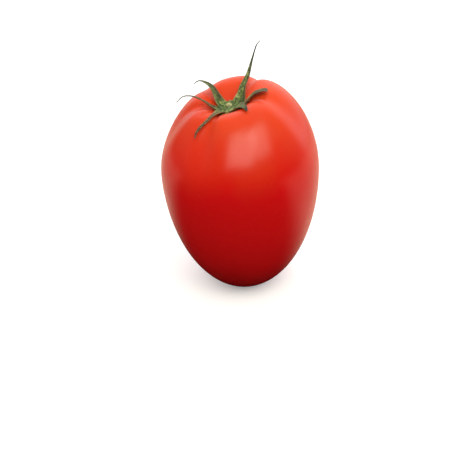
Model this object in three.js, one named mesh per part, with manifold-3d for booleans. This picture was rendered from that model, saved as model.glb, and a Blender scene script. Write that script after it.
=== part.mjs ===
// Plum tomato, picked, with its star of sepals and the cut stub of its stem.
// Millimetres, +Z up. The fruit stands on its blossom end: the middle of its small flat spot is the origin.
// Azimuths are in degrees from +X (right) towards +Y (away from the viewer).
import * as THREE from "three";
import { mergeVertices } from "three/addons/utils/BufferGeometryUtils.js";
import Module from "manifold-3d";

const wasm = await Module();
wasm.setup();

// Fruit: half heights are measured from its widest level
const RADIUS = 28.1;
const UPPER_HALF = 30.8;
const LOWER_HALF = 49.1;
const UPPER_FULLNESS = 1.92;
const LOWER_FULLNESS = 2;
// The top is wider and higher towards one side, and is set off to the left
const TOP_BULGE = { share: 0.134, azimuth: 38 };
const TOP_RISE = { height: 4.9, azimuth: 33 };
const TOP_SHIFT = 2.6;
const TOP_BLEND = [0, 1.2];
// Cavity round the stem
const CAVITY_DEPTH = 9.8;
const CAVITY_RADIUS = 8.4;
// Creases between the lobes run from the cavity over the shoulder
const CREASES = [
  { azimuth: 50, depth: 1.6, halfWidth: 10 },
  { azimuth: 122, depth: 0.9, halfWidth: 14 },
  { azimuth: 180, depth: 1.1, halfWidth: 13 },
  { azimuth: 240, depth: 1.3, halfWidth: 10 },
  { azimuth: 343, depth: 1.3, halfWidth: 14 },
];
const CREASE_BLEND = [-0.1, 1.0];
const CREASE_FREE_RADIUS = 6;
// Near its widest level the skin is averaged over a span of latitudes, in radians, so that its halves flow together
const GIRTH_SPAN = 0.2;
const GIRTH_REACH = 0.5;
const GIRTH_SAMPLES = 9;
// The fruit leans a little to the left and towards the viewer
const LEAN_LEFT = 3.5;
const LEAN_FORWARD = 2;
const FLAT_SPOT_DEPTH = 1.2;
const FRUIT_ROWS = 44;
const FRUIT_COLUMNS = 80;

// Calyx: a disc that lies in the cavity, and six sepals that grow out of it
const CLEARANCE = 0.3;
const DISC_RADIUS = 3.6;
// Towards this azimuth the disc reaches further out, where the sepals' bases are joined
const DISC_REACH = { extra: 1.4, azimuth: 235, halfWidth: 70 };
const DISC_EDGE_THICKNESS = 0.8;
// The disc rises to a boss round the stem, whose socket leaves this thickness below it
const DISC_BOSS = 1.4;
const SOCKET_FLOOR_THICKNESS = 0.8;
const DISC_LIFT = 0.35;
const DISC_RINGS = 5;
const DISC_COLUMNS = 36;
const BLADE_THICKNESS = 0.7;
const BLADE_CHANNEL = 0.16;
const BLADE_LIFT = 1.0;
const BLADE_STATIONS = 15;
// Each row of a sepal's route is azimuth, distance out and height above the cavity's floor, and width.
// A sepal that rolls has its clockwise edge, seen from above, lower than the other.
const SEPALS = [
  {
    facing: 65,
    route: [
      [8, 1.8, 1.3, 4.8],
      [9, 3.1, 2.6, 5.0],
      [20, 4.0, 4.1, 4.3],
      [30, 4.8, 5.4, 3.2],
      [40, 6.4, 8.2, 2.2],
      [46, 9.3, 10.9, 1.6],
      [50, 11.6, 13.8, 1.1],
      [51, 13.4, 17.0, 0.8],
      [51, 15.0, 19.9, 0.7],
      [49, 16.4, 21.4, 0.7],
    ],
  },
  {
    facing: 138,
    route: [
      [140, 2.0, 1.3, 4.4],
      [140, 3.9, 2.6, 4.2],
      [138, 5.9, 4.8, 3.0],
      [137, 8.0, 6.9, 2.3],
      [138, 10.3, 7.9, 1.7],
      [141, 12.8, 8.4, 1.0],
      [144, 14.2, 7.7, 0.7],
      [146, 14.5, 7.0, 0.7],
    ],
  },
  {
    facing: 187,
    route: [
      [195, 2.2, 1.0, 3.8],
      [192, 4.4, 1.7, 3.2],
      [186, 6.1, 2.6, 2.1],
      [184, 8.6, 4.4, 1.5],
      [186, 12.0, 6.3, 1.0],
      [188, 15.6, 6.7, 0.7],
      [190, 18.1, 4.9, 0.7],
    ],
  },
  {
    facing: 233,
    route: [
      [236, 2.2, 1.0, 4.2],
      [236, 5.5, 2.2, 3.0],
      [236, 9.5, 2.3, 1.7],
      [234, 13.0, 1.1, 1.3],
      [232, 15.3, -0.1, 1.2],
      [230, 17.0, -1.8, 1.0],
      [231, 18.1, -3.4, 0.7],
    ],
  },
  {
    facing: 302,
    roll: 25,
    route: [
      [306, 2.2, 2.2, 5.4],
      [301, 5.0, 3.4, 5.0],
      [299, 7.2, 4.9, 3.8],
      [298, 9.6, 5.9, 2.4],
      [297, 11.8, 6.1, 1.6],
      [296, 13.4, 5.6, 1.0],
    ],
  },
  {
    facing: 346,
    route: [
      [340, 2.2, 1.8, 3.4],
      [338, 5.0, 3.5, 3.2],
      [344, 6.3, 5.0, 3.1],
      [347, 8.2, 7.3, 3.2],
      [348, 10.4, 8.6, 3.1],
      [349, 12.3, 9.1, 2.7],
      [349, 13.2, 8.8, 1.8],
    ],
  },
];

// Stem stub: it stands on the disc in a round socket between the sepals, and its cut end faces up
const STEM_RADIUS = 1.15;
const STEM_FOOT_RADIUS = 1.4;
const STEM_FOOT_HEIGHT = 0.5;
const STEM_LENGTH = 1.4;
const STEM_CHAMFER = 0.15;
const STEM_SIDES = 24;
const SOCKET_HEIGHT = 6;

const radians = THREE.MathUtils.degToRad;
const smoothstep = THREE.MathUtils.smoothstep;

const lean = new THREE.Quaternion()
  .setFromAxisAngle(new THREE.Vector3(1, 0, 0), radians(LEAN_FORWARD))
  .multiply(new THREE.Quaternion().setFromAxisAngle(new THREE.Vector3(0, 1, 0), radians(-LEAN_LEFT)));

// The lower half is an ellipsoid, so the middle of the flat spot follows from where its underside is level.
function restSpot() {
  const radii = new THREE.Vector3(RADIUS, RADIUS, LOWER_HALF);
  const down = new THREE.Vector3(0, 0, -1).applyQuaternion(lean.clone().invert()).multiply(radii);
  const reach = down.length();
  const lowest = down.multiply(radii).divideScalar(reach).applyQuaternion(lean);
  return lowest.multiplyScalar(1 - FLAT_SPOT_DEPTH / reach);
}

const rest = restSpot();

// How far the creases press the skin in at an azimuth, in radians
function creaseDepth(azimuth) {
  let depth = 0;
  for (const crease of CREASES) {
    const away = THREE.MathUtils.euclideanModulo(azimuth - radians(crease.azimuth) + Math.PI, 2 * Math.PI);
    depth += crease.depth * Math.exp(-(((away - Math.PI) / radians(crease.halfWidth)) ** 2));
  }
  return depth;
}

// A point of the upright fruit, in radians: latitude runs from the blossom end up to the cavity's floor.
function lobedPoint(azimuth, latitude) {
  const level = Math.max(Math.cos(latitude), 0);
  const rise = Math.sin(latitude);
  const upper = rise > 0;
  const power = 2 / (upper ? UPPER_FULLNESS : LOWER_FULLNESS);
  const top = smoothstep(latitude, ...TOP_BLEND);
  let out = RADIUS * level ** power;
  let height = (upper ? UPPER_HALF : LOWER_HALF) * Math.sign(rise) * Math.abs(rise) ** power;
  out *= 1 + top * TOP_BULGE.share * Math.cos(azimuth - radians(TOP_BULGE.azimuth));
  height += top * TOP_RISE.height * (out / RADIUS) * Math.cos(azimuth - radians(TOP_RISE.azimuth));
  if (upper) height -= CAVITY_DEPTH * Math.exp(-((out / CAVITY_RADIUS) ** 2));
  const press =
    creaseDepth(azimuth) * smoothstep(latitude, ...CREASE_BLEND) * Math.min(1, out / CREASE_FREE_RADIUS);
  out -= press * level;
  height -= press * rise;
  return new THREE.Vector3(out * Math.cos(azimuth) - TOP_SHIFT * top, out * Math.sin(azimuth), height);
}

// A point of the skin of the leaning fruit, above its flat spot
function skinPoint(azimuth, latitude) {
  const span = GIRTH_SPAN * Math.exp(-((latitude / GIRTH_REACH) ** 2));
  const sum = new THREE.Vector3();
  let weight = 0;
  for (let sample = 0; sample < GIRTH_SAMPLES; sample++) {
    const offset = span * ((2 * sample) / (GIRTH_SAMPLES - 1) - 1);
    sum.add(lobedPoint(azimuth, latitude + offset));
    weight += Math.cos(offset);
  }
  return sum.divideScalar(weight).applyQuaternion(lean).sub(rest);
}

const floor = skinPoint(0, Math.PI / 2);
const stemFoot = floor.clone().add(new THREE.Vector3(0, 0, DISC_LIFT + SOCKET_FLOOR_THICKNESS + CLEARANCE));

// Height of the skin over a place on the top, found by stepping along the surface towards it
function skinHeight(x, y) {
  const onTop = (u, v) => skinPoint(Math.atan2(v, u), Math.PI / 2 - Math.hypot(u, v));
  const step = 1e-4;
  const longest = 0.15;
  let u = (x - floor.x) / RADIUS;
  let v = (y - floor.y) / RADIUS;
  for (let turn = 0; turn < 12; turn++) {
    const here = onTop(u, v);
    const alongU = onTop(u + step, v).sub(here).divideScalar(step);
    const alongV = onTop(u, v + step).sub(here).divideScalar(step);
    const area = alongU.x * alongV.y - alongV.x * alongU.y;
    const du = ((x - here.x) * alongV.y - (y - here.y) * alongV.x) / area;
    const dv = ((y - here.y) * alongU.x - (x - here.x) * alongU.y) / area;
    const shorten = Math.min(1, longest / Math.max(Math.hypot(du, dv), step));
    u += du * shorten;
    v += dv * shorten;
  }
  return onTop(u, v).z;
}

// A closed surface over rings of points that go round the same way. The first and the last are single points.
function skinOver(rings) {
  const around = rings[1].length;
  const positions = rings.flat().flatMap((point) => point.toArray());
  const last = rings.flat().length - 1;
  const at = (ring, side) => 1 + (ring - 1) * around + (side % around);
  const index = [];
  for (let side = 0; side < around; side++) {
    index.push(0, at(1, side + 1), at(1, side));
    for (let ring = 1; ring < rings.length - 2; ring++) {
      index.push(at(ring, side), at(ring, side + 1), at(ring + 1, side + 1));
      index.push(at(ring, side), at(ring + 1, side + 1), at(ring + 1, side));
    }
    index.push(at(rings.length - 2, side), at(rings.length - 2, side + 1), last);
  }
  const geometry = new THREE.BufferGeometry();
  geometry.setAttribute("position", new THREE.Float32BufferAttribute(positions, 3));
  geometry.setIndex(index);
  return geometry;
}

function solidOf(geometry) {
  return new wasm.Manifold(
    new wasm.Mesh({
      numProp: 3,
      vertProperties: new Float32Array(geometry.attributes.position.array),
      triVerts: new Uint32Array(geometry.index.array),
    }),
  );
}

function geometryOf(solid) {
  const mesh = solid.getMesh();
  const geometry = new THREE.BufferGeometry();
  geometry.setAttribute("position", new THREE.BufferAttribute(mesh.vertProperties, 3));
  geometry.setIndex(new THREE.BufferAttribute(mesh.triVerts, 1));
  return geometry;
}

// The same closed surface, moved out along its normals
function grown(geometry, distance) {
  const larger = geometry.clone();
  larger.computeVertexNormals();
  const position = larger.attributes.position;
  const point = new THREE.Vector3();
  const normal = new THREE.Vector3();
  for (let i = 0; i < position.count; i++) {
    point.fromBufferAttribute(position, i);
    normal.fromBufferAttribute(larger.attributes.normal, i);
    point.addScaledVector(normal, distance);
    position.setXYZ(i, point.x, point.y, point.z);
  }
  return larger;
}

function fruitSkin() {
  const rings = [[skinPoint(0, -Math.PI / 2)]];
  for (let row = 1; row < FRUIT_ROWS; row++) {
    const latitude = Math.PI * (row / FRUIT_ROWS - 0.5);
    const ring = [];
    for (let column = 0; column < FRUIT_COLUMNS; column++) {
      ring.push(skinPoint((2 * Math.PI * column) / FRUIT_COLUMNS, latitude));
    }
    rings.push(ring);
  }
  rings.push([floor]);
  return skinOver(rings);
}

// A geometry's corners, each held once
function welded(geometry) {
  geometry.deleteAttribute("normal");
  geometry.deleteAttribute("uv");
  return mergeVertices(geometry);
}

// The fruit, with the flat spot that it stands on cut level
function fruitSolid(skin) {
  const size = 2 * RADIUS;
  const below = new THREE.BoxGeometry(size, size, size).translate(0, 0, -size / 2);
  return solidOf(skin).subtract(solidOf(welded(below)));
}

function discRadius(azimuth) {
  const away = THREE.MathUtils.euclideanModulo(azimuth - radians(DISC_REACH.azimuth) + Math.PI, 2 * Math.PI);
  return DISC_RADIUS + DISC_REACH.extra * Math.exp(-(((away - Math.PI) / radians(DISC_REACH.halfWidth)) ** 2));
}

// The calyx's disc follows the bowl of the cavity and thins towards its edge
function discSolid() {
  const ringAt = (share, lift) => {
    const ring = [];
    for (let column = 0; column < DISC_COLUMNS; column++) {
      const azimuth = (2 * Math.PI * column) / DISC_COLUMNS;
      const out = share * discRadius(azimuth);
      const x = floor.x + out * Math.cos(azimuth);
      const y = floor.y + out * Math.sin(azimuth);
      ring.push(new THREE.Vector3(x, y, skinHeight(x, y) + lift));
    }
    return ring;
  };
  const middle = (lift) => [floor.clone().add(new THREE.Vector3(0, 0, lift))];
  const under = [];
  const over = [];
  for (let ring = 1; ring <= DISC_RINGS; ring++) {
    const share = ring / DISC_RINGS;
    const thickness = DISC_EDGE_THICKNESS + DISC_BOSS * (1 - share ** 2);
    under.push(ringAt(share, DISC_LIFT));
    over.unshift(ringAt(share, DISC_LIFT + thickness));
  }
  return solidOf(skinOver([middle(DISC_LIFT), ...under, ...over, middle(DISC_LIFT + DISC_EDGE_THICKNESS + DISC_BOSS)]));
}

// A sepal is a channelled blade along its route, which stays clear of the skin below it
function sepalSolid({ facing, roll = 0, route }) {
  const places = route.map(([azimuth, out, up]) => {
    const x = floor.x + out * Math.cos(radians(azimuth));
    const y = floor.y + out * Math.sin(radians(azimuth));
    return new THREE.Vector3(x, y, Math.max(floor.z + up, skinHeight(x, y) + BLADE_LIFT));
  });
  const curve = new THREE.CatmullRomCurve3(places);
  const side = new THREE.Vector3(-Math.sin(radians(facing)), Math.cos(radians(facing)), 0);
  side.applyAxisAngle(new THREE.Vector3(side.y, -side.x, 0), radians(roll));
  const across = [-1, -0.5, 0, 0.5, 1];
  const rings = [];
  for (let station = 0; station < BLADE_STATIONS; station++) {
    const share = station / (BLADE_STATIONS - 1);
    const reached = share * (route.length - 1);
    const before = Math.min(Math.floor(reached), route.length - 2);
    const width = THREE.MathUtils.lerp(route[before][3], route[before + 1][3], reached - before);
    const centre = curve.getPoint(share);
    const inner = new THREE.Vector3().crossVectors(curve.getTangent(share), side).normalize();
    const pointAt = (a, face) =>
      centre
        .clone()
        .addScaledVector(side, (a * width) / 2)
        .addScaledVector(inner, BLADE_CHANNEL * width * (a * a - 0.5) + (face * BLADE_THICKNESS) / 2);
    const outerFace = across.map((a) => pointAt(a, -1));
    const innerFace = across.toReversed().map((a) => pointAt(a, 1));
    rings.push([...outerFace, ...innerFace]);
  }
  const middleOf = (ring) => [
    ring.reduce((sum, point) => sum.add(point), new THREE.Vector3()).divideScalar(ring.length),
  ];
  return solidOf(skinOver([middleOf(rings[0]), ...rings, middleOf(rings.at(-1))]));
}

// The disc and the sepals as one body, trimmed clear of the fruit and of the stem's foot
function calyxSolid(skin) {
  let calyx = discSolid();
  for (const sepal of SEPALS) calyx = calyx.add(sepalSolid(sepal));
  const socketRadius = STEM_FOOT_RADIUS + CLEARANCE;
  const socket = new THREE.CylinderGeometry(socketRadius, socketRadius, SOCKET_HEIGHT, STEM_SIDES)
    .rotateX(Math.PI / 2)
    .translate(stemFoot.x, stemFoot.y, stemFoot.z - CLEARANCE + SOCKET_HEIGHT / 2);
  return calyx.subtract(solidOf(welded(socket))).subtract(solidOf(grown(skin, CLEARANCE)));
}

// The stub widens at its foot, and the edge of its cut end is broken
function stemGeometry() {
  const profile = [
    [0, 0],
    [STEM_FOOT_RADIUS, 0],
    [STEM_RADIUS, STEM_FOOT_HEIGHT],
    [STEM_RADIUS, STEM_LENGTH - STEM_CHAMFER],
    [STEM_RADIUS - STEM_CHAMFER, STEM_LENGTH],
    [0, STEM_LENGTH],
  ].map(([out, up]) => new THREE.Vector2(out, up));
  return new THREE.LatheGeometry(profile, STEM_SIDES).rotateX(Math.PI / 2);
}

function meshOf(name, geometry, look) {
  const mesh = new THREE.Mesh(geometry, new THREE.MeshStandardMaterial(look));
  mesh.name = name;
  return mesh;
}

const tomato = new THREE.Group();
const skin = fruitSkin();
const fruit = meshOf("fruit", geometryOf(fruitSolid(skin)), { color: 0xd22d22, roughness: 0.3, metalness: 0 });
const calyx = meshOf("calyx", geometryOf(calyxSolid(skin)), { color: 0x50783c, roughness: 0.8, metalness: 0 });
const stem = meshOf("stem", stemGeometry(), { color: 0xa5a064, roughness: 0.8, metalness: 0 });
stem.position.copy(stemFoot);
tomato.add(fruit, calyx, stem);

export default tomato;
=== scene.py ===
# Plum tomato: the fine meshes, materials, light and camera. Metres, in the CAD model's frame.
# Azimuths are in degrees from +X (right) towards +Y (away from the viewer).
import math
import bpy
import numpy as np
from mathutils import Matrix, Vector
from mathutils.kdtree import KDTree


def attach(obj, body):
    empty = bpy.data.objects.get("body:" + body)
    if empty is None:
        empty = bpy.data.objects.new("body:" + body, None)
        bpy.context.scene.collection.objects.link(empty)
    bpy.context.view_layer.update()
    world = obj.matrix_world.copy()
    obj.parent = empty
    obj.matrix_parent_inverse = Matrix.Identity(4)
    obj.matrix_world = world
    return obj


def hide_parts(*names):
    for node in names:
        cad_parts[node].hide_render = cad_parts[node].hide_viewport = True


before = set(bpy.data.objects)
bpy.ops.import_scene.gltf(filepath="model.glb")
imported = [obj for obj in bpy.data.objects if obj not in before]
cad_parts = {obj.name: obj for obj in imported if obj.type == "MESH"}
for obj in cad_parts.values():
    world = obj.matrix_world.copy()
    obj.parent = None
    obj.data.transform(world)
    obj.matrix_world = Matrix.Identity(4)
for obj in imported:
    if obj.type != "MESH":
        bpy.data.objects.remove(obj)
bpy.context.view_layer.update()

SEED = 7

# Fruit, as in the CAD model: half heights are measured from its widest level
RADIUS = 0.0281
UPPER_HALF = 0.0308
LOWER_HALF = 0.0491
UPPER_FULLNESS = 1.92
LOWER_FULLNESS = 2
TOP_BULGE_SHARE, TOP_BULGE_AZIMUTH = 0.134, 38
TOP_RISE, TOP_RISE_AZIMUTH = 0.0049, 33
TOP_SHIFT = 0.0026
TOP_BLEND = (0, 1.2)
CAVITY_DEPTH = 0.0098
CAVITY_RADIUS = 0.0084
# Azimuth, depth and half width in degrees of each crease between the lobes
CREASES = [
    (50, 0.0016, 10),
    (122, 0.0009, 14),
    (180, 0.0011, 13),
    (240, 0.0013, 10),
    (343, 0.0013, 14),
]
CREASE_BLEND = (-0.1, 1.0)
CREASE_FREE_RADIUS = 0.006
# Near its widest level the skin is averaged over a span of latitudes, in radians, so that its halves
# flow together
GIRTH_SPAN = 0.2
GIRTH_REACH = 0.5
GIRTH_SAMPLES = 9
LEAN_LEFT = math.radians(3.5)
LEAN_FORWARD = math.radians(2)
FLAT_SPOT_DEPTH = 0.0012
# Height of the shoulders over the flat spot
FRUIT_TOP = 0.078
FRUIT_ROWS = 250
FRUIT_COLUMNS = 360
# The dry scar where the blossom was, in the middle of the fruit's lower end
SCAR_RADIUS = 0.0011
SCAR_DEPTH = 0.0004
# The dark ring on the skin round the stem, partly a corky ring and partly painted shade under the calyx
CORK_AND_SHADE_RADIUS = 0.0046

# Calyx, as in the CAD model, with finer blades. Its disc reaches further out on one side
DISC_RADIUS = 0.0036
DISC_EXTRA, DISC_EXTRA_AZIMUTH, DISC_EXTRA_HALF_WIDTH = 0.0014, 235, 70
DISC_EDGE_THICKNESS = 0.0007
DISC_BOSS = 0.0015
DISC_LIFT = 0.0002
DISC_RINGS = 12
DISC_COLUMNS = 64
BLADE_LIFT = 0.0008
BLADE_STATIONS = 90
BLADE_POINTS_ACROSS = 13
# A blade's thickness at its foot, and how much of it is gone at its tip
BLADE_THICKNESS = 0.00055
BLADE_THINNING = 0.00027
# A blade's cross section: its channel as a share of its width, the thinning of its edges, and its rib
CHANNEL_SHARE = 0.2
EDGE_THINNING = 0.75
RIB_SHARE = 0.35
RIB_HALF_WIDTH = 0.16
# Each sepal: the azimuth that it faces and its roll, then azimuth, out, up and width along it
SEPALS = {
    "tall": (65, 0, [
        (8, 0.0018, 0.0013, 0.0048),
        (9, 0.0031, 0.0026, 0.0050),
        (20, 0.0040, 0.0041, 0.0043),
        (30, 0.0048, 0.0054, 0.0032),
        (40, 0.0064, 0.0082, 0.0022),
        (46, 0.0093, 0.0109, 0.0016),
        (50, 0.0116, 0.0138, 0.0010),
        (51, 0.0134, 0.0170, 0.0006),
        (51, 0.0150, 0.0199, 0.00045),
        (49, 0.0164, 0.0214, 0.0003),
    ]),
    "arched": (138, 0, [
        (140, 0.0020, 0.0013, 0.0044),
        (140, 0.0039, 0.0026, 0.0042),
        (138, 0.0059, 0.0048, 0.0030),
        (137, 0.0080, 0.0069, 0.0023),
        (138, 0.0103, 0.0079, 0.0017),
        (141, 0.0128, 0.0084, 0.0007),
        (144, 0.0142, 0.0077, 0.0004),
        (146, 0.0145, 0.0070, 0.0003),
    ]),
    "slender": (187, 0, [
        (195, 0.0022, 0.0010, 0.0038),
        (192, 0.0044, 0.0017, 0.0032),
        (186, 0.0061, 0.0026, 0.0021),
        (184, 0.0086, 0.0044, 0.0013),
        (186, 0.0120, 0.0063, 0.0007),
        (188, 0.0156, 0.0067, 0.0004),
        (190, 0.0181, 0.0049, 0.0003),
    ]),
    "laid": (233, 0, [
        (236, 0.0022, 0.0010, 0.0042),
        (236, 0.0055, 0.0022, 0.0029),
        (236, 0.0095, 0.0023, 0.0014),
        (234, 0.0130, 0.0011, 0.0012),
        (232, 0.0153, -0.0001, 0.0011),
        (230, 0.0170, -0.0018, 0.0008),
        (231, 0.0181, -0.0034, 0.0004),
    ]),
    "short": (302, 25, [
        (306, 0.0022, 0.0022, 0.0054),
        (301, 0.0050, 0.0034, 0.0050),
        (299, 0.0072, 0.0049, 0.0037),
        (298, 0.0096, 0.0059, 0.0022),
        (297, 0.0118, 0.0061, 0.0014),
        (296, 0.0134, 0.0056, 0.0007),
    ]),
    "blunt": (346, 0, [
        (340, 0.0022, 0.0018, 0.0034),
        (338, 0.0050, 0.0035, 0.0032),
        (344, 0.0063, 0.0050, 0.0031),
        (347, 0.0082, 0.0073, 0.0032),
        (348, 0.0104, 0.0086, 0.0031),
        (349, 0.0123, 0.0091, 0.0027),
        (349, 0.0132, 0.0088, 0.0017),
    ]),
}
# The calyx's fine hairs
HAIRS = 3600
HAIR_SPREAD = 0.006
HAIR_RADIUS = 0.00003
HAIR_ROOT_DEPTH = 0.00003
HAIR_SCATTER = 0.45
HAIR_LENGTHS = (0.0002, 0.0006)

# Marks on the calyx, which its material reads: the place along and across a sepal, and the shares that are
# # dried, at a pale rim (with a painted highlight on the disc's edge), hair, streaked disc and dark band
# (painted shade on most sepals)
MARKS = ("along", "across", "dry", "rim", "hair", "middle", "dark")
# How far each sepal has dried to brown, and the middle and half width across it of its dark band
DRYNESS = {"tall": 0.2, "arched": 0.2, "slender": 0.6, "laid": 0.95, "short": 0.2, "blunt": 0.6}
# The dark band: painted shade on one side of the tall, arched, slender and short sepals, a darker middle on
# the laid and blunt ones
SHADE_AND_MIDLINE_BANDS = {"tall": (-0.9, 0.55), "arched": (-0.7, 0.75), "slender": (-0.8, 0.6), "laid": (0.1, 0.35),
              "short": (1.0, 0.5), "blunt": (0.0, 0.4)}
# Where marks set in and are complete, along a sepal from 0 at its foot to 1 at its tip
DRY_ALONG = (0.1, 0.35)
SHADE_AND_MIDLINE_ALONG = (0.08, 0.25)
RIM_ALONG = (0.02, 0.15)
# The same across it, from its middle
RIM_INSET = 0.15
RIM_ACROSS = (0.55, 0.85)
BESIDE_BLADE = (0.7, 1.1)
# The same outwards over the disc, as shares of its radius
# The pale line along the disc's edge is a painted highlight
DISC_EDGE_HIGHLIGHT = (0.86, 1.0)
STREAKS_END = (0.8, 1.9)
# How strong each mark is, and where along a sepal the painted highlight on the disc's edge ends
RIM_SHARE = 0.6
HAIR_SHARE = 0.6
SHADE_AND_MIDLINE_SHARE = 0.85
DISC_EDGE_HIGHLIGHT_END = 0.25

# Stem: a stub whose cut end slopes towards the front
STEM_LIFT = 0.0010
STEM_RADIUS = 0.00105
STEM_LENGTH = 0.0017
STEM_SLOPE = 0.45
STEM_SIDES = 48
# Its side, as shares of its radius and length
STEM_PROFILE = [(1.35, 0), (1.2, 0.15), (1.03, 0.4), (1.0, 0.7), (1.02, 0.9), (1.0, 0.97), (0.93, 1.0),
                (0.5, 0.995)]

# Camera, at the photograph's angle: the point that it looks at, its distance and its elevation
CAMERA_AIM = Vector((-0.0072, -0.0011, 0.0234))
CAMERA_DISTANCE = 0.345
CAMERA_ELEVATION = math.radians(30)
CAMERA_LENS = 74.9

# Light: the point that the lamps face, and the two panes of the window
LIT_POINT = Vector((0, 0, 0.045))
WINDOW_DISTANCE = 0.7
DAYLIGHT = (1, 0.97, 0.84)


def smoothstep(low, high, value):
    """Rises smoothly from 0 to 1 as value goes from low to high."""
    t = np.clip((value - low) / (high - low), 0, 1)
    return t * t * (3 - 2 * t)


def lean_matrix():
    """Rows of the turn that leans the fruit to the left and then towards the viewer."""
    turn = Matrix.Rotation(LEAN_FORWARD, 3, "X") @ Matrix.Rotation(-LEAN_LEFT, 3, "Y")
    return np.array(turn)


LEAN = lean_matrix()


def rest_spot():
    """Middle of the flat spot, from where the underside of the lower ellipsoid is level."""
    radii = np.array([RADIUS, RADIUS, LOWER_HALF])
    down = (np.array([0, 0, -1]) @ LEAN) * radii
    reach = np.linalg.norm(down)
    lowest = LEAN @ (down * radii / reach)
    return lowest * (1 - FLAT_SPOT_DEPTH / reach)


REST = rest_spot()


def lobed_points(azimuth, latitude):
    """Points of the upright fruit for arrays of azimuth and latitude in radians."""
    level = np.clip(np.cos(latitude), 0, None)
    rise = np.sin(latitude)
    upper = rise > 0
    power = np.where(upper, 2 / UPPER_FULLNESS, 2 / LOWER_FULLNESS)
    top = smoothstep(*TOP_BLEND, latitude)
    out = RADIUS * level ** power
    height = np.where(upper, UPPER_HALF, LOWER_HALF) * np.sign(rise) * np.abs(rise) ** power
    out = out * (1 + top * TOP_BULGE_SHARE * np.cos(azimuth - math.radians(TOP_BULGE_AZIMUTH)))
    height = height + top * TOP_RISE * (out / RADIUS) * np.cos(azimuth - math.radians(TOP_RISE_AZIMUTH))
    height = height - np.where(upper, CAVITY_DEPTH * np.exp(-((out / CAVITY_RADIUS) ** 2)), 0)
    depth = 0
    for crease_azimuth, crease_depth, half_width in CREASES:
        away = (azimuth - math.radians(crease_azimuth) + math.pi) % (2 * math.pi) - math.pi
        depth = depth + crease_depth * np.exp(-((away / math.radians(half_width)) ** 2))
    press = depth * smoothstep(*CREASE_BLEND, latitude) * np.minimum(1, out / CREASE_FREE_RADIUS)
    out = out - press * level
    height = height - press * rise
    return np.stack(np.broadcast_arrays(
        out * np.cos(azimuth) - TOP_SHIFT * top, out * np.sin(azimuth), height), -1)


def skin_points(azimuth, latitude):
    """Points of the skin of the leaning fruit, above its flat spot."""
    span = GIRTH_SPAN * np.exp(-((latitude / GIRTH_REACH) ** 2))
    offsets = [span * share for share in np.linspace(-1, 1, GIRTH_SAMPLES)]
    total = sum(lobed_points(azimuth, latitude + offset) for offset in offsets)
    weight = sum(np.cos(offset) for offset in offsets)
    return (total / weight[..., None]) @ LEAN.T - REST


# Lowest point of the cavity round the stem, and the middle of the blossom scar in the flat spot's plane
CAVITY_FLOOR = skin_points(np.zeros(1), np.full(1, math.pi / 2))[0]
SCAR_CENTRE = skin_points(np.zeros(1), np.full(1, -math.pi / 2))[0] * (1, 1, 0)


def on_top(u, v):
    """Points of the skin on its upper half, where the cavity's floor is at (0, 0)."""
    return skin_points(np.arctan2(v, u), math.pi / 2 - np.hypot(u, v))


def skin_height(x, y):
    """Height of the skin over places on the top, found by stepping along the surface towards them."""
    step, longest = 1e-4, 0.15
    u = (x - CAVITY_FLOOR[0]) / RADIUS
    v = (y - CAVITY_FLOOR[1]) / RADIUS
    for _ in range(12):
        here = on_top(u, v)
        along_u = (on_top(u + step, v) - here) / step
        along_v = (on_top(u, v + step) - here) / step
        area = along_u[..., 0] * along_v[..., 1] - along_v[..., 0] * along_u[..., 1]
        dx, dy = x - here[..., 0], y - here[..., 1]
        du = (dx * along_v[..., 1] - dy * along_v[..., 0]) / area
        dv = (dy * along_u[..., 0] - dx * along_u[..., 1]) / area
        shorten = np.minimum(1, longest / np.maximum(np.hypot(du, dv), step))
        u, v = u + du * shorten, v + dv * shorten
    return on_top(u, v)[..., 2]


def mesh_object(name, points, faces):
    mesh = bpy.data.meshes.new(name)
    mesh.from_pydata([tuple(p) for p in points], [], faces)
    mesh.shade_smooth()
    obj = bpy.data.objects.new(name, mesh)
    bpy.context.scene.collection.objects.link(obj)
    return obj


def skin_over(first, rings, last):
    """Points and faces of a closed surface over rings, an array of ring by side by 3, between two ends."""
    count, around = rings.shape[:2]
    points = np.vstack([first, rings.reshape(-1, 3), last])

    def at(ring, side):
        return 1 + ring * around + side % around

    faces = []
    for side in range(around):
        faces.append((0, at(0, side + 1), at(0, side)))
        for ring in range(count - 1):
            faces.append((at(ring, side), at(ring, side + 1), at(ring + 1, side + 1), at(ring + 1, side)))
        faces.append((at(count - 1, side), at(count - 1, side + 1), len(points) - 1))
    return points, faces


# Fruit

def make_fruit():
    """The whole skin, cut level at the flat spot, with the dimple of the blossom scar."""
    latitudes = np.linspace(-math.pi / 2, math.pi / 2, FRUIT_ROWS + 1)[1:-1, None]
    azimuths = np.linspace(0, 2 * math.pi, FRUIT_COLUMNS, endpoint=False)[None, :]
    rings = skin_points(azimuths, latitudes)
    low = SCAR_CENTRE.copy()
    rings[..., 2] = rings[..., 2].clip(0)
    from_scar = np.hypot(rings[..., 0] - low[0], rings[..., 1] - low[1])
    near_floor = rings[..., 2] < UPPER_HALF / 2
    rings[..., 2] += SCAR_DEPTH * smoothstep(SCAR_RADIUS * 1.6, SCAR_RADIUS * 0.5, from_scar) * near_floor
    low[2] = SCAR_DEPTH * 0.7
    return mesh_object("tomato_fruit", *skin_over(low, rings, CAVITY_FLOOR))


# Calyx

def catmull_rom(points, shares):
    """Points along a curve through the given points, at shares from 0 to 1 of the way."""
    padded = np.vstack([2 * points[0] - points[1], points, 2 * points[-1] - points[-2]])
    spans = len(points) - 1
    place = np.clip(shares * spans, 0, spans - 1e-9)
    i = place.astype(int)
    t = (place - i)[:, None]
    a, b, c, d = padded[i], padded[i + 1], padded[i + 2], padded[i + 3]
    return 0.5 * (2 * b + (c - a) * t + (2 * a - 5 * b + 4 * c - d) * t ** 2
                  + (3 * b - a - 3 * c + d) * t ** 3)


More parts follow.
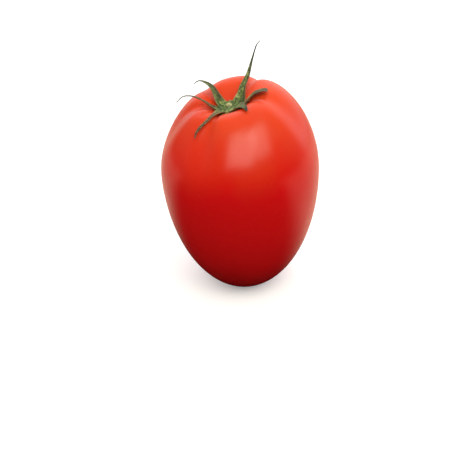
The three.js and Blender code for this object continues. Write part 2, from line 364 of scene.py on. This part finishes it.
def sepal_frame(facing, roll, route):
    """Centre points, widths, side and inner directions along a sepal."""
    azimuth, out, up, width = (np.array(column, float) for column in zip(*route))
    x = CAVITY_FLOOR[0] + out * np.cos(np.radians(azimuth))
    y = CAVITY_FLOOR[1] + out * np.sin(np.radians(azimuth))
    z = np.maximum(CAVITY_FLOOR[2] + up, skin_height(x, y) + BLADE_LIFT)
    shares = np.linspace(0, 1, BLADE_STATIONS)
    centres = catmull_rom(np.stack([x, y, z], -1), shares)
    widths = catmull_rom(np.stack([width] * 3, -1), shares)[:, 0]
    tangents = np.gradient(centres, axis=0)
    level_side = np.array([-math.sin(math.radians(facing)), math.cos(math.radians(facing)), 0])
    side = level_side * math.cos(math.radians(roll)) + np.array([0, 0, math.sin(math.radians(roll))])
    inner = np.cross(tangents, side)
    inner /= np.linalg.norm(inner, axis=1, keepdims=True)
    return centres, widths, side, inner


def make_blade(name, facing, roll, route):
    """One sepal: a thin blade with a channel on its upper side and a rib below."""
    centres, widths, side, inner = sepal_frame(facing, roll, route)
    across = np.linspace(-1, 1, BLADE_POINTS_ACROSS)
    rings = []
    for i, (centre, width) in enumerate(zip(centres, widths)):
        share = i / (BLADE_STATIONS - 1)
        thick = BLADE_THICKNESS - BLADE_THINNING * share
        channel = CHANNEL_SHARE * width * (1 - 0.5 * share)
        edge = np.sqrt(1 - EDGE_THINNING * across ** 2)
        bow = channel * (across ** 2 - 0.5)
        rib = RIB_SHARE * thick * np.exp(-(across / RIB_HALF_WIDTH) ** 2)
        offset = side * (across[:, None] * width / 2)
        outer = centre + offset + inner[i] * (bow - edge * thick / 2 - rib)[:, None]
        inside = centre + offset + inner[i] * (bow + edge * thick / 2)[:, None]
        rings.append(np.vstack([outer, inside[::-1]]))
    rings = np.array(rings)
    return mesh_object(name, *skin_over(rings[0].mean(0), rings, rings[-1].mean(0)))


def disc_radius(angles):
    """Radius of the disc towards angles in radians."""
    away = (angles - math.radians(DISC_EXTRA_AZIMUTH) + math.pi) % (2 * math.pi) - math.pi
    return DISC_RADIUS + DISC_EXTRA * np.exp(-(away / math.radians(DISC_EXTRA_HALF_WIDTH)) ** 2)


def make_disc():
    """The middle of the star, which follows the bowl of the cavity and rises to a boss round the stem."""
    angles = np.linspace(0, 2 * math.pi, DISC_COLUMNS, endpoint=False)
    shares = np.arange(1, DISC_RINGS + 1)[:, None] / DISC_RINGS
    x = CAVITY_FLOOR[0] + shares * disc_radius(angles) * np.cos(angles)
    y = CAVITY_FLOOR[1] + shares * disc_radius(angles) * np.sin(angles)
    under = np.stack([x, y, skin_height(x, y) + DISC_LIFT], -1)
    thickness = DISC_EDGE_THICKNESS + DISC_BOSS * (1 - shares ** 2)
    over = under + thickness[..., None] * np.array([0, 0, 1])
    rings = np.concatenate([under, over[::-1]])
    first = CAVITY_FLOOR + np.array([0, 0, DISC_LIFT])
    last = first + np.array([0, 0, DISC_EDGE_THICKNESS + DISC_BOSS])
    return mesh_object("disc", *skin_over(first, rings, last))


def make_calyx():
    """The disc and the sepals fused into one skin, with the hairs joined in."""
    blades = [make_blade(name, *sepal) for name, sepal in SEPALS.items()]
    calyx = make_disc()
    calyx.name = "tomato_calyx"
    with bpy.context.temp_override(active_object=calyx, selected_editable_objects=[calyx, *blades]):
        bpy.ops.object.join()
    remesh = calyx.modifiers.new("fuse", "REMESH")
    remesh.mode = "VOXEL"
    remesh.voxel_size = 0.0001
    remesh.use_smooth_shade = True
    relax = calyx.modifiers.new("relax", "SMOOTH")
    relax.factor = 0.5
    relax.iterations = 3
    graph = bpy.context.evaluated_depsgraph_get()
    fused = bpy.data.meshes.new_from_object(calyx.evaluated_get(graph))
    calyx.modifiers.clear()
    calyx.data = fused
    blade_points = len(fused.vertices)
    hairs = make_hairs(fused)
    with bpy.context.temp_override(active_object=calyx, selected_editable_objects=[calyx, hairs]):
        bpy.ops.object.join()
    mark_blades(calyx.data, blade_points)
    return calyx


def make_hairs(mesh):
    """Short fine hairs all over the calyx, thickest near its middle, each a closed three-sided cone."""
    rng = np.random.default_rng(SEED)
    count = len(mesh.vertices)
    places = np.empty(count * 3)
    mesh.vertices.foreach_get("co", places)
    places = places.reshape(-1, 3)
    normals = np.array([vertex.normal for vertex in mesh.vertices])
    outwards = places[:, :2] - CAVITY_FLOOR[:2]
    nearness = np.exp(-np.hypot(outwards[:, 0], outwards[:, 1]) / HAIR_SPREAD)
    chosen = rng.choice(count, HAIRS, replace=False, p=nearness / nearness.sum())
    points, faces = [], []
    for i in chosen:
        root = places[i] - normals[i] * HAIR_ROOT_DEPTH
        growth = normals[i] + rng.normal(0, HAIR_SCATTER, 3)
        growth /= np.linalg.norm(growth)
        aside = np.cross(growth, rng.normal(0, 1, 3))
        aside /= np.linalg.norm(aside)
        other = np.cross(growth, aside)
        first = len(points)
        for turn in (0, 1, 2):
            angle = turn * 2 * math.pi / 3
            points.append(root + HAIR_RADIUS * (aside * math.cos(angle) + other * math.sin(angle)))
        points.append(root + growth * rng.uniform(*HAIR_LENGTHS))
        faces += [(first, first + 2, first + 1), (first, first + 1, first + 3),
                  (first + 1, first + 2, first + 3), (first + 2, first, first + 3)]
    return mesh_object("hairs", points, faces)


def mark_blades(mesh, blade_points):
    """Gives each point of the calyx its marks, from its place on the nearest sepal and over the disc."""
    stations = []
    for name, sepal in SEPALS.items():
        centres, widths, side, _ = sepal_frame(*sepal)
        for i, (centre, width) in enumerate(zip(centres, widths)):
            along = i / (BLADE_STATIONS - 1)
            stations.append((centre, width, side, along, DRYNESS[name], SHADE_AND_MIDLINE_BANDS[name]))
    tree = KDTree(len(stations))
    for i, station in enumerate(stations):
        tree.insert(station[0], i)
    tree.balance()
    values = {name: np.zeros(len(mesh.vertices), np.float32) for name in MARKS}
    for vertex in mesh.vertices:
        _, nearest, _ = tree.find(vertex.co)
        centre, width, side, along, dryness, (band, half_width) = stations[nearest]
        across = 2 * float(np.dot(np.array(vertex.co) - centre, side)) / width
        u, v = vertex.co.x - CAVITY_FLOOR[0], vertex.co.y - CAVITY_FLOOR[1]
        reached = math.hypot(u, v) / disc_radius(math.atan2(v, u))
        blade_edge = max(abs(across) - RIM_INSET, 0) * smoothstep(*RIM_ALONG, along)
        # Painted highlight: a pale line along the disc's edge between the sepals
        disc_edge_highlight = smoothstep(*DISC_EDGE_HIGHLIGHT, reached) * smoothstep(*BESIDE_BLADE, abs(across))
        rim = max(smoothstep(*RIM_ACROSS, blade_edge), disc_edge_highlight * (along < DISC_EDGE_HIGHLIGHT_END))
        # The dark band, painted shade on one side of most sepals
        in_band = math.exp(-((across - band) / half_width) ** 2)
        marks = {
            "along": along,
            "across": across,
            "dry": dryness * smoothstep(*DRY_ALONG, along),
            "rim": RIM_SHARE * rim * (1 - along),
            "hair": HAIR_SHARE * (vertex.index >= blade_points),
            "middle": 1 - smoothstep(*STREAKS_END, reached),
            "dark": SHADE_AND_MIDLINE_SHARE * in_band * smoothstep(*SHADE_AND_MIDLINE_ALONG, along),
        }
        for name, mark in marks.items():
            values[name][vertex.index] = mark
    for name, value in values.items():
        mesh.attributes.new(name, "FLOAT", "POINT").data.foreach_set("value", value)


# Stem

STEM_FOOT = CAVITY_FLOOR + np.array([0, 0, STEM_LIFT])


def make_stem():
    angles = np.linspace(0, 2 * math.pi, STEM_SIDES, endpoint=False)
    rings = []
    for out, up in STEM_PROFILE:
        ripple = STEM_RADIUS * out * (1 + 0.06 * np.sin(3 * angles + 0.5) + 0.05 * np.sin(5 * angles)
                                      + 0.03 * np.sin(9 * angles + 1))
        x, y = ripple * np.cos(angles), ripple * np.sin(angles)
        rings.append(np.stack([x, y, STEM_LENGTH * up + STEM_SLOPE * y * up ** 3], -1) + STEM_FOOT)
    end = STEM_FOOT + np.array([0, 0, STEM_LENGTH * 0.98])
    return mesh_object("tomato_stem", *skin_over(STEM_FOOT, np.array(rings), end))


# Materials

def new_material(name):
    """A material with its nodes, links and shader."""
    material = bpy.data.materials.new(name)
    material.use_nodes = True
    nodes = material.node_tree.nodes
    return material, nodes, material.node_tree.links, nodes["Principled BSDF"]


def colour_ramp(nodes, stops):
    """A colour ramp over (position, linear colour) stops."""
    ramp = nodes.new("ShaderNodeValToRGB")
    elements = ramp.color_ramp.elements
    elements[0].position, elements[-1].position = stops[0][0], stops[-1][0]
    elements[0].color, elements[-1].color = (*stops[0][1], 1), (*stops[-1][1], 1)
    for position, colour in stops[1:-1]:
        elements.new(position).color = (*colour, 1)
    return ramp


def noise_at(nodes, links, scale, detail=3, stretch=(1, 1, 1)):
    """Noise in object space, with scale in cells per metre."""
    place = nodes.new("ShaderNodeTexCoord")
    mapping = nodes.new("ShaderNodeMapping")
    mapping.inputs["Scale"].default_value = stretch
    noise = nodes.new("ShaderNodeTexNoise")
    noise.inputs["Scale"].default_value = scale
    noise.inputs["Detail"].default_value = detail
    links.new(place.outputs["Object"], mapping.inputs["Vector"])
    links.new(mapping.outputs["Vector"], noise.inputs["Vector"])
    return noise.outputs["Fac"]


def place_parts(nodes, links, kind="Object"):
    """The X, Y and Z of a shaded place."""
    place = nodes.new("ShaderNodeTexCoord")
    split = nodes.new("ShaderNodeSeparateXYZ")
    links.new(place.outputs[kind], split.inputs[0])
    return split.outputs["X"], split.outputs["Y"], split.outputs["Z"]


def spokes(nodes, links):
    """Streaks that run out from the stem: noise over the direction away from it, which wanders a little."""
    place = nodes.new("ShaderNodeTexCoord")
    away = nodes.new("ShaderNodeVectorMath")
    away.operation = "SUBTRACT"
    away.inputs[1].default_value = tuple(float(c) for c in CAVITY_FLOOR)
    flat = nodes.new("ShaderNodeVectorMath")
    flat.operation = "MULTIPLY"
    flat.inputs[1].default_value = (1, 1, 0)
    direction = nodes.new("ShaderNodeVectorMath")
    direction.operation = "NORMALIZE"
    wander = nodes.new("ShaderNodeVectorMath")
    wander.operation = "MULTIPLY_ADD"
    wander.inputs[1].default_value = (60, 60, 60)
    noise = nodes.new("ShaderNodeTexNoise")
    noise.inputs["Scale"].default_value = 4.5
    noise.inputs["Detail"].default_value = 2
    links.new(place.outputs["Object"], away.inputs[0])
    links.new(away.outputs["Vector"], flat.inputs[0])
    links.new(flat.outputs["Vector"], direction.inputs[0])
    links.new(away.outputs["Vector"], wander.inputs[0])
    links.new(direction.outputs["Vector"], wander.inputs[2])
    links.new(wander.outputs["Vector"], noise.inputs["Vector"])
    return noise.outputs["Fac"]


def mix_values(nodes, links, share, first, second):
    """Mixes two sockets by the share from a third."""
    mix = nodes.new("ShaderNodeMix")
    for socket, value in ((mix.inputs[0], share), (mix.inputs[2], first), (mix.inputs[3], second)):
        links.new(value, socket)
    return mix.outputs[0]


def math_node(nodes, links, operation, first, second):
    """A math node over two values, each a socket or a number."""
    node = nodes.new("ShaderNodeMath")
    node.operation = operation
    for socket, value in zip(node.inputs, (first, second)):
        if isinstance(value, (int, float)):
            socket.default_value = value
        else:
            links.new(value, socket)
    return node.outputs[0]


def weighted_sum(nodes, links, *terms):
    """The sum of terms, each a pair of a socket and its weight."""
    result = None
    for value, weight in terms:
        part = math_node(nodes, links, "MULTIPLY", value, weight)
        result = part if result is None else math_node(nodes, links, "ADD", result, part)
    return result


def mix_colours(nodes, links, share, first, second):
    """Mixes two colours, each a socket or a linear colour, by a share."""
    node = nodes.new("ShaderNodeMix")
    node.data_type = "RGBA"
    links.new(share, node.inputs["Factor"])
    for socket, value in ((node.inputs[6], first), (node.inputs[7], second)):
        if isinstance(value, tuple):
            socket.default_value = (*value, 1)
        else:
            links.new(value, socket)
    return node.outputs[2]


def bump(nodes, links, height, distance, strength, shader):
    node = nodes.new("ShaderNodeBump")
    node.inputs["Distance"].default_value = distance
    node.inputs["Strength"].default_value = strength
    links.new(height, node.inputs["Height"])
    links.new(node.outputs["Normal"], shader.inputs["Normal"])


def brightness(nodes, links, value, low, high, dark, bright):
    """A grey that rises smoothly from dark to bright as value goes from low to high."""
    node = nodes.new("ShaderNodeMapRange")
    node.interpolation_type = "SMOOTHSTEP"
    for name, number in (("From Min", low), ("From Max", high), ("To Min", dark), ("To Max", bright)):
        node.inputs[name].default_value = number
    links.new(value, node.inputs["Value"])
    return node.outputs["Result"]


def round_patch(nodes, links, centre, radius, share):
    """A share that falls to nothing at the rim of a round patch."""
    place = nodes.new("ShaderNodeTexCoord")
    distance = nodes.new("ShaderNodeVectorMath")
    distance.operation = "DISTANCE"
    distance.inputs[1].default_value = tuple(float(c) for c in centre)
    links.new(place.outputs["Object"], distance.inputs[0])
    return brightness(nodes, links, distance.outputs["Value"], radius * 0.75, radius * 1.15, share, 0)


def skin_material():
    """Orange red at the shoulders, deep red below and darker still towards the bottom as painted shade,
    with faint flecks under a waxy gloss and a dark ring round the stem that is partly cork and partly
    painted shade.
    """
    material, nodes, links, shader = new_material("tomato_skin")
    _, _, z = place_parts(nodes, links)
    broad = noise_at(nodes, links, 70, 2, (1, 1, 0.4))
    drift = math_node(nodes, links, "MULTIPLY", math_node(nodes, links, "SUBTRACT", broad, 0.5), 0.016)
    height = math_node(nodes, links, "ADD", z, drift)
    level = math_node(nodes, links, "DIVIDE", height, FRUIT_TOP)
    # Colour by height: orange shoulders over a red body are the fruit's own tone, and the darker red
    # towards the bottom is painted shade
    ripeness_and_low_shade = colour_ramp(nodes, [
        (0.0, (0.46, 0.0004, 0.0020)), (0.26, (0.66, 0.0004, 0.0016)), (0.47, (0.70, 0.0006, 0.0016)),
        (0.62, (0.70, 0.0008, 0.0016)), (0.69, (0.68, 0.0100, 0.0036)), (0.91, (0.69, 0.0460, 0.0100)),
        (1.0, (0.75, 0.0620, 0.0140))])
    links.new(level, ripeness_and_low_shade.inputs["Fac"])
    fleck_share = nodes.new("ShaderNodeMapRange")
    fleck_share.inputs["From Min"].default_value = 0.62
    fleck_share.inputs["From Max"].default_value = 0.78
    fleck_share.inputs["To Max"].default_value = 0.12
    links.new(noise_at(nodes, links, 1600, 2), fleck_share.inputs["Value"])
    flecks = fleck_share.outputs["Result"]
    colour = mix_colours(nodes, links, flecks, ripeness_and_low_shade.outputs["Color"], (0.86, 0.12, 0.03))
    # Painted shade: the dark ring round the stem is partly a corky ring and partly the calyx's shade on the
    # skin
    cork_and_shade = round_patch(nodes, links, CAVITY_FLOOR, CORK_AND_SHADE_RADIUS, 0.9)
    colour = mix_colours(nodes, links, cork_and_shade, colour, (0.100, 0.016, 0.004))
    scar = round_patch(nodes, links, SCAR_CENTRE, SCAR_RADIUS, 1.5)
    speckled = math_node(nodes, links, "MULTIPLY", scar, noise_at(nodes, links, 3500, 3))
    colour = mix_colours(nodes, links, speckled, colour, (0.080, 0.038, 0.014))
    links.new(colour, shader.inputs["Base Color"])
    gloss = nodes.new("ShaderNodeMapRange")
    gloss.inputs["To Min"].default_value = 0.215
    gloss.inputs["To Max"].default_value = 0.268
    links.new(noise_at(nodes, links, 260, 3), gloss.inputs["Value"])
    links.new(gloss.outputs["Result"], shader.inputs["Roughness"])
    shader.inputs["IOR"].default_value = 1.42
    shader.inputs["Subsurface Weight"].default_value = 0.08
    shader.inputs["Subsurface Radius"].default_value = (1.0, 0.25, 0.1)
    shader.inputs["Subsurface Scale"].default_value = 0.0015
    bump(nodes, links, noise_at(nodes, links, 420, 1), 0.00003, 0.1, shader)
    return material


def attribute(nodes, name):
    node = nodes.new("ShaderNodeAttribute")
    node.attribute_name = name
    return node.outputs["Fac"]


def green_material():
    """Leafy green with fine veins, a dark band that is painted shade on one side of most sepals and a
    darker middle on the rest, pale rims with a painted highlight along the disc's edge, brown where dry and
    dark at the tips.
    """
    material, nodes, links, shader = new_material("sepal_green")
    along, across, dry, rim, hair, middle, dark = (attribute(nodes, name) for name in MARKS)
    grain = nodes.new("ShaderNodeCombineXYZ")
    links.new(math_node(nodes, links, "MULTIPLY", across, 5), grain.inputs["X"])
    links.new(math_node(nodes, links, "MULTIPLY", along, 2.5), grain.inputs["Y"])
    links.new(math_node(nodes, links, "MULTIPLY", dry, 9), grain.inputs["Z"])
    veins = nodes.new("ShaderNodeTexNoise")
    veins.inputs["Scale"].default_value = 1.6
    veins.inputs["Detail"].default_value = 3
    links.new(grain.outputs["Vector"], veins.inputs["Vector"])
    streaks = mix_values(nodes, links, middle, veins.outputs["Fac"], spokes(nodes, links))
    mottle = noise_at(nodes, links, 1300, 4)
    tone = weighted_sum(nodes, links, (mottle, 0.5), (streaks, 0.5))
    fresh = colour_ramp(nodes, [(0.40, (0.012, 0.024, 0.003)), (0.47, (0.060, 0.115, 0.014)),
                                (0.54, (0.135, 0.215, 0.034)), (0.62, (0.360, 0.440, 0.120))])
    withered = colour_ramp(nodes, [(0.40, (0.018, 0.008, 0.002)), (0.48, (0.110, 0.062, 0.020)),
                                   (0.58, (0.340, 0.215, 0.085))])
    links.new(tone, fresh.inputs["Fac"])
    links.new(tone, withered.inputs["Fac"])
    colour = mix_colours(nodes, links, dry, fresh.outputs["Color"], withered.outputs["Color"])
    # Painted shade: the dark band darkens one side of most sepals, and the middle of the laid and blunt
    # ones
    colour = mix_colours(nodes, links, dark, colour, (0.034, 0.024, 0.006))
    towards_tip = brightness(nodes, links, along, 0.45, 0.95, 0, 0.85)
    fresh_share = math_node(nodes, links, "SUBTRACT", 1.15, dry)
    tip = math_node(nodes, links, "MULTIPLY", towards_tip, fresh_share)
    colour = mix_colours(nodes, links, tip, colour, (0.034, 0.030, 0.030))
    pale = mix_colours(nodes, links, dry, (0.340, 0.400, 0.140), (0.400, 0.270, 0.120))
    # Pale rims: the sepals' own paler margins, and a painted highlight along the disc's edge
    colour = mix_colours(nodes, links, rim, colour, pale)
    colour = mix_colours(nodes, links, hair, colour, (0.420, 0.450, 0.280))
    links.new(colour, shader.inputs["Base Color"])
    shader.inputs["Roughness"].default_value = 0.6
    shader.inputs["Sheen Weight"].default_value = 0.1
    bump(nodes, links, streaks, 0.00012, 0.6, shader)
    return material


def stem_material():
    """A pale, slightly woody cut end over a side mottled in dark and mid green."""
    material, nodes, links, shader = new_material("cut_stem")
    _, _, z = place_parts(nodes, links)
    drift = math_node(nodes, links, "MULTIPLY", noise_at(nodes, links, 1800, 3), 0.0006)
    height = math_node(nodes, links, "ADD", z, drift)
    foot = float(STEM_FOOT[2])
    pale = brightness(nodes, links, height, foot + 0.0014, foot + 0.0023, 0, 1)
    side = colour_ramp(nodes, [(0.3, (0.020, 0.032, 0.006)), (0.7, (0.090, 0.125, 0.030))])
    links.new(noise_at(nodes, links, 2500, 3), side.inputs["Fac"])
    wood = colour_ramp(nodes, [(0.3, (0.22, 0.22, 0.08)), (0.52, (0.48, 0.45, 0.21)),
                               (0.7, (0.62, 0.57, 0.32))])
    links.new(noise_at(nodes, links, 2600, 3), wood.inputs["Fac"])
    colour = mix_colours(nodes, links, pale, side.outputs["Color"], wood.outputs["Color"])
    links.new(colour, shader.inputs["Base Color"])
    shader.inputs["Roughness"].default_value = 0.75
    bump(nodes, links, noise_at(nodes, links, 5000, 3), 0.00006, 0.6, shader)
    return material


# Stage, light and camera

def ray_kinds(nodes):
    """Whether a ray comes from the camera, and whether it is a reflection."""
    path = nodes.new("ShaderNodeLightPath")
    return path.outputs["Is Camera Ray"], path.outputs["Is Glossy Ray"]


def make_floor():
    """A white floor, which reflections show warm behind and to the right, and dark in front."""
    reach = 3
    corners = [(-reach, -reach, 0), (reach, -reach, 0), (reach, reach, 0), (-reach, reach, 0)]
    stage = mesh_object("floor", corners, [(0, 1, 2, 3)])
    material, nodes, links, shader = new_material("floor")
    camera_ray, glossy_ray = ray_kinds(nodes)
    x, y, _ = place_parts(nodes, links)
    to_a_side = math_node(nodes, links, "ABSOLUTE", x, 0)
    behind = weighted_sum(nodes, links, (y, 1), (to_a_side, 0.42), (x, 0.28))
    lit = brightness(nodes, links, behind, 0, 0.06, 0, 1)
    in_gloss = mix_colours(nodes, links, lit, (0.016, 0.016, 0.016), (0.78, 0.57, 0.44))
    by_object = mix_colours(nodes, links, glossy_ray, (0.27, 0.25, 0.25), in_gloss)
    by_camera = mix_colours(nodes, links, camera_ray, by_object, (0.9, 0.9, 0.9))
    links.new(by_camera, shader.inputs["Base Color"])
    # Painted light: to the camera the floor also glows, more the further out it lies, so that it shows
    # evenly white round the fruit's shadow
    place = nodes.new("ShaderNodeTexCoord")
    away = nodes.new("ShaderNodeVectorMath")
    away.operation = "LENGTH"
    links.new(place.outputs["Object"], away.inputs[0])
    glow = brightness(nodes, links, away.outputs["Value"], 0.15, 0.8, 1, 3.5)
    links.new(math_node(nodes, links, "MULTIPLY", camera_ray, glow), shader.inputs["Emission Strength"])
    shader.inputs["Emission Color"].default_value = (0.28, 0.28, 0.28, 1)
    shader.inputs["Roughness"].default_value = 0.9
    shader.inputs["Specular IOR Level"].default_value = 0.0
    stage.data.materials.append(material)


def make_world():
    """A white studio. Reflections show it bright behind and to the right, and dark in front, for depth."""
    world = bpy.data.worlds.new("studio")
    bpy.context.scene.world = world
    world.use_nodes = True
    nodes, links = world.node_tree.nodes, world.node_tree.links
    camera_ray, glossy_ray = ray_kinds(nodes)
    x, y, z = place_parts(nodes, links, "Generated")
    behind = weighted_sum(nodes, links, (y, 1), (x, 0.2), (z, 0.3))
    mirrored = colour_ramp(nodes, [(0, (0.026, 0.018, 0.014)), (0.5, (0.52, 0.41, 0.29)),
                                   (1, (1.05, 1.02, 0.98))])
    links.new(brightness(nodes, links, behind, 0.4, 0.8, 0, 1), mirrored.inputs["Fac"])
    raised = weighted_sum(nodes, links, (y, 1), (z, 0.3))
    diffuse = brightness(nodes, links, raised, -0.7, 0.3, 0.14, 1)
    by_object = mix_colours(nodes, links, glossy_ray, diffuse, mirrored.outputs["Color"])
    by_camera = mix_colours(nodes, links, camera_ray, by_object, (1, 1, 1))
    links.new(by_camera, nodes["Background"].inputs["Color"])


def make_light(name, place, size, power, colour=(1, 1, 1), reflected=True):
    """A rectangular lamp that faces the fruit, and that reflections may show."""
    light = bpy.data.lights.new(name, "AREA")
    light.shape = "RECTANGLE"
    light.size, light.size_y = size
    light.energy = power
    light.color = colour
    obj = bpy.data.objects.new(name, light)
    bpy.context.scene.collection.objects.link(obj)
    obj.location = place
    obj.rotation_euler = (LIT_POINT - Vector(place)).to_track_quat("-Z", "Y").to_euler()
    obj.visible_glossy = reflected


def window_place(azimuth, elevation):
    """A place of the window, by its azimuth to the right of the camera and its elevation, in degrees."""
    a, e = math.radians(azimuth), math.radians(elevation)
    direction = Vector((math.sin(a) * math.cos(e), -math.cos(a) * math.cos(e), math.sin(e)))
    return LIT_POINT + direction * WINDOW_DISTANCE


def make_camera():
    camera = bpy.data.cameras.new("camera")
    camera.lens = CAMERA_LENS
    camera.sensor_width = 36
    camera.clip_start = 0.01
    obj = bpy.data.objects.new("camera", camera)
    bpy.context.scene.collection.objects.link(obj)
    back = Vector((0, -math.cos(CAMERA_ELEVATION), math.sin(CAMERA_ELEVATION)))
    obj.location = CAMERA_AIM + back * CAMERA_DISTANCE
    obj.rotation_euler = (math.pi / 2 - CAMERA_ELEVATION, 0, 0)
    bpy.context.scene.camera = obj


def dress(piece, node, material):
    """Gives a piece its material, and lets it ride and stand for its CAD node."""
    piece.data.materials.clear()
    piece.data.materials.append(material)
    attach(piece, "root")
    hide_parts(node)


dress(make_fruit(), "fruit", skin_material())
dress(make_calyx(), "calyx", green_material())
dress(make_stem(), "stem", stem_material())
make_floor()
make_world()
make_light("left_pane", window_place(-5, 46.5), (0.44, 0.42), 2.25, DAYLIGHT)
make_light("right_pane", window_place(33, 50.5), (0.3, 0.43), 1.15, DAYLIGHT)
make_light("overhead", (0, 0.25, 0.9), (0.7, 0.7), 0.22)
make_light("above", (0.12, 0.05, 0.8), (0.1, 0.1), 0.75, reflected=False)
make_light("right_fill", (0.55, 0.24, 0.06), (0.5, 0.5), 1.2, reflected=False)
make_light("left_fill", (-0.55, 0.05, 0.1), (0.5, 0.5), 0.3, reflected=False)
make_camera()
bpy.context.scene.view_settings.view_transform = "Standard"
